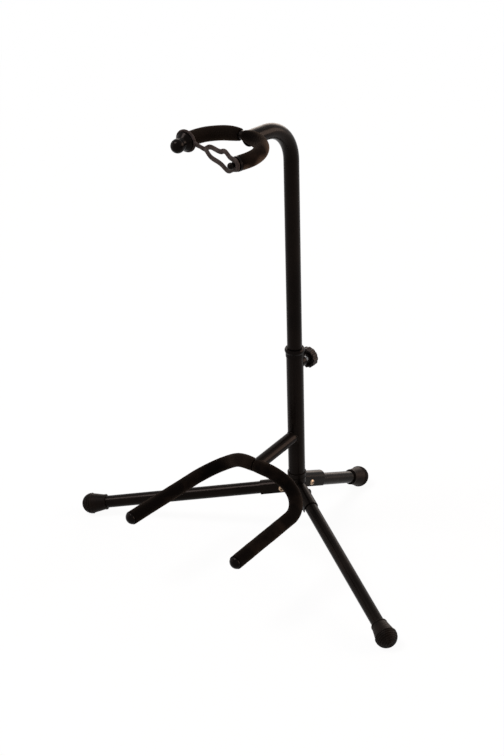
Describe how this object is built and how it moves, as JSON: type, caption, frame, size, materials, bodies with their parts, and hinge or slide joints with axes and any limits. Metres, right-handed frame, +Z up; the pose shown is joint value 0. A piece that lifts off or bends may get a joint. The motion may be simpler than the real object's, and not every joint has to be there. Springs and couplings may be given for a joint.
{
  "type": "guitar stand",
  "caption": "Tubular folding guitar stand: hinged tripod legs, padded body yoke, height-adjustable gooseneck with a padded neck yoke and a rubber security strap.",
  "frame": {"origin": "On the floor, on the column's axis.", "axes": "+Z up along the column; the yokes open toward -Y, the clamp knob and the short leg are toward +Y; +X is to the right when facing +Y."},
  "size_m": [0.6026, 0.4438, 0.6887],
  "materials": {
    "black_steel": "satin black powder coat",
    "foam": "matte black closed-cell foam sleeve",
    "rubber": "matte black moulded rubber",
    "strap_rubber": "grey elastic rubber",
    "black_plastic": "satin black moulded plastic",
    "brass_rivet": "plain tubular rivet",
    "zinc_steel": "zinc-plated thread",
    "nylon": "dull black nylon"
  },
  "bodies": {
    "base": {"lower_tube": "black_steel", "hub_collar": "black_steel", "hub_plug": "black_plastic", "leg_bracket_left": "black_steel", "leg_bracket_right": "black_steel", "leg_bracket_rear": "black_steel", "rear_stop_pad": "nylon", "leg_rivet_left": "brass_rivet", "leg_rivet_right": "brass_rivet", "leg_rivet_rear": "brass_rivet", "collar_bush": "black_plastic", "clamp_nut": "black_steel", "yoke_stub": "black_steel", "body_yoke_tube": "black_steel", "body_yoke_foam_left": "foam", "body_yoke_foam_right": "foam", "body_yoke_cap_left": "black_plastic", "body_yoke_cap_right": "black_plastic"},
    "leg_left": {"leg_tube_left": "black_steel", "leg_foot_left": "rubber"},
    "leg_right": {"leg_tube_right": "black_steel", "leg_foot_right": "rubber"},
    "leg_rear": {"leg_tube_rear": "black_steel", "leg_foot_rear": "rubber"},
    "mast_guide": {"mast_guide": "nylon"},
    "mast": {"upper_tube": "black_steel", "neck_yoke_tube": "black_steel", "neck_foam_left": "foam", "neck_foam_right": "foam", "strap_anchor_cap": "black_plastic", "strap_hook_cap": "black_plastic"},
    "strap": {"neck_strap": "strap_rubber"},
    "clamp_pad": {"clamp_pad": "nylon"},
    "clamp_screw": {"clamp_stud": "zinc_steel", "clamp_knob": "black_plastic"}
  },
  "joints": [
    {"name": "leg_left_fold", "type": "hinge", "parent": "base", "child": "leg_left", "pos_m": [-0.01952, -0.011, 0.0755], "axis": [0.4909, -0.8712, 0], "range_deg": [0, 72]},
    {"name": "leg_right_fold", "type": "hinge", "parent": "base", "child": "leg_right", "pos_m": [0.01952, -0.011, 0.0755], "axis": [0.4909, 0.8712, 0], "range_deg": [0, 72]},
    {"name": "leg_rear_fold", "type": "hinge", "parent": "base", "child": "leg_rear", "pos_m": [0, 0.0224, 0.0755], "axis": [-1, 0, 0], "range_deg": [0, 60]},
    {"name": "mast_height", "type": "slide", "parent": "base", "child": "mast_guide", "axis": [0, 0, 1], "range_m": [-0.07, 0.06]},
    {"name": "mast_swivel", "type": "hinge", "parent": "mast_guide", "child": "mast", "pos_m": [0, 0, 0.3], "axis": [0, 0, 1], "continuous": true},
    {"name": "strap_swing", "type": "hinge", "parent": "mast", "child": "strap", "pos_m": [-0.05581, -0.15367, 0.67413], "axis": [0.0865, -0.9957, -0.033], "range_deg": [0, 90], "deforming": ["neck_strap"]},
    {"name": "clamp_travel", "type": "slide", "parent": "base", "child": "clamp_pad", "axis": [0, 1, 0], "range_m": [0, 0.0026]},
    {"name": "clamp_turn", "type": "hinge", "parent": "clamp_pad", "child": "clamp_screw", "pos_m": [0, 0.03, 0.286], "axis": [0, 1, 0], "range_deg": [0, 720]}
  ],
  "couplings": [
    {"joint": "clamp_travel", "follows": "clamp_turn", "m_per_rad": 0.00019894}
  ]
}
